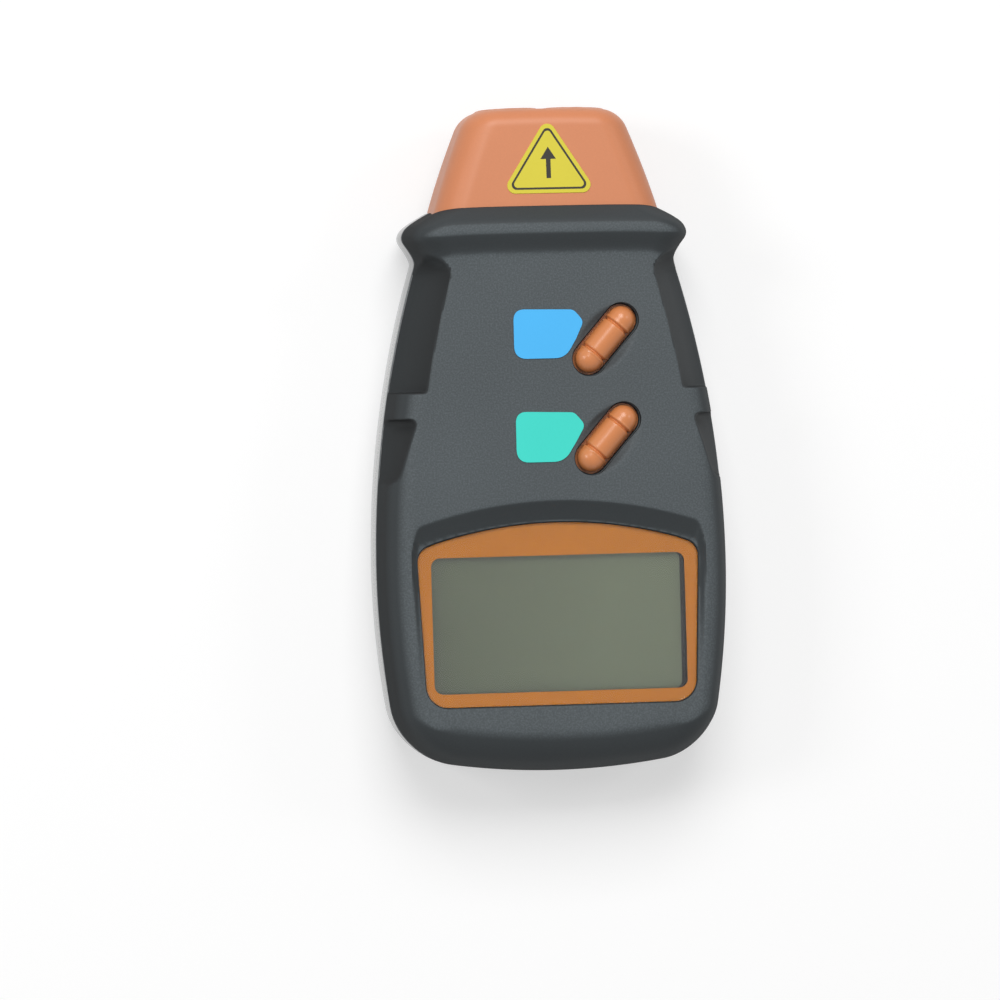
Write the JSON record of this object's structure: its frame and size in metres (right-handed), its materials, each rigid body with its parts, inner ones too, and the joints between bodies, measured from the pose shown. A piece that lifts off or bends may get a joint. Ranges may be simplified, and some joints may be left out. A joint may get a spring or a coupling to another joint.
{
  "type": "laser tachometer",
  "caption": "Hand-held laser tachometer with a flared collar, orange optics nose, sunken display window, slanted capsule keys and a sliding battery door.",
  "frame": {"origin": "under the middle of the bounding box, on the plane that the back rests on", "axes": "+X to the right as the display is read, +Y from the chin to the nose, +Z out of the display"},
  "size_m": [0.07, 0.131, 0.029],
  "materials": {
    "graphite_abs": "dark grey moulded ABS with a fine spark-eroded grain",
    "rear_abs": "dark grey moulded ABS, a shade smoother than the front",
    "orange_abs": "orange-brown moulded ABS, satin",
    "key_plastic": "orange-brown satin key moulding",
    "yellow_vinyl": "yellow printed vinyl label",
    "blue_print": "light blue printed polyester label",
    "green_print": "turquoise green printed polyester label",
    "clear_acrylic": "clear moulded acrylic",
    "orange_print": "orange printed film behind the window",
    "display_glass": "grey-green liquid crystal panel with its polariser",
    "dark_plastic": "black moulded plastic",
    "contact_rubber": "layered conductive rubber",
    "board_laminate": "green solder mask on laminate",
    "chip_resin": "black moulding resin",
    "plated_steel": "nickel-plated steel",
    "brass": "turned brass",
    "capacitor_sleeve": "dark blue shrink sleeve",
    "battery_jacket": "plain dark metal jacket",
    "red_wire": "red insulated wire",
    "black_wire": "black insulated wire"
  },
  "bodies": {
    "case": {"front_shell": "graphite_abs", "rear_shell": "rear_abs", "nose_cap": "orange_abs", "nose_sticker": "yellow_vinyl", "optics_holder": "dark_plastic", "laser_barrel": "brass", "laser_window": "clear_acrylic", "receiver_lens": "clear_acrylic", "photodiode": "dark_plastic", "laser_lead": "black_wire", "receiver_lead": "black_wire", "display_window": "clear_acrylic", "window_border": "orange_print", "display_glass": "display_glass", "display_frame": "dark_plastic", "contact_strip_upper": "contact_rubber", "contact_strip_lower": "contact_rubber", "memory_switch": "chip_resin", "memory_field": "blue_print", "test_switch": "chip_resin", "test_field": "green_print", "main_board": "board_laminate", "controller_chip": "chip_resin", "crystal": "plated_steel", "capacitor": "capacitor_sleeve", "battery": "battery_jacket", "battery_snap": "dark_plastic", "battery_lead_red": "red_wire", "battery_lead_black": "black_wire", "case_screw_1": "plated_steel", "board_screw_1": "plated_steel", "case_screw_2": "plated_steel", "board_screw_2": "plated_steel", "case_screw_3": "plated_steel", "board_screw_3": "plated_steel", "case_screw_4": "plated_steel", "board_screw_4": "plated_steel"},
    "memory_key": {"memory_button": "key_plastic", "memory_plunger": "plated_steel"},
    "test_key": {"test_button": "key_plastic", "test_plunger": "plated_steel"},
    "door": {"battery_door": "rear_abs"}
  },
  "joints": [
    {"name": "memory_press", "type": "slide", "parent": "case", "child": "memory_key", "axis": [0, 0, -1], "range_m": [0, 0.0006], "stiffness_N_per_m": 1500},
    {"name": "test_press", "type": "slide", "parent": "case", "child": "test_key", "axis": [0, 0, -1], "range_m": [0, 0.0006], "stiffness_N_per_m": 1500},
    {"name": "door_slide", "type": "slide", "parent": "case", "child": "door", "axis": [0, -1, 0], "range_m": [0, 0.055]}
  ]
}
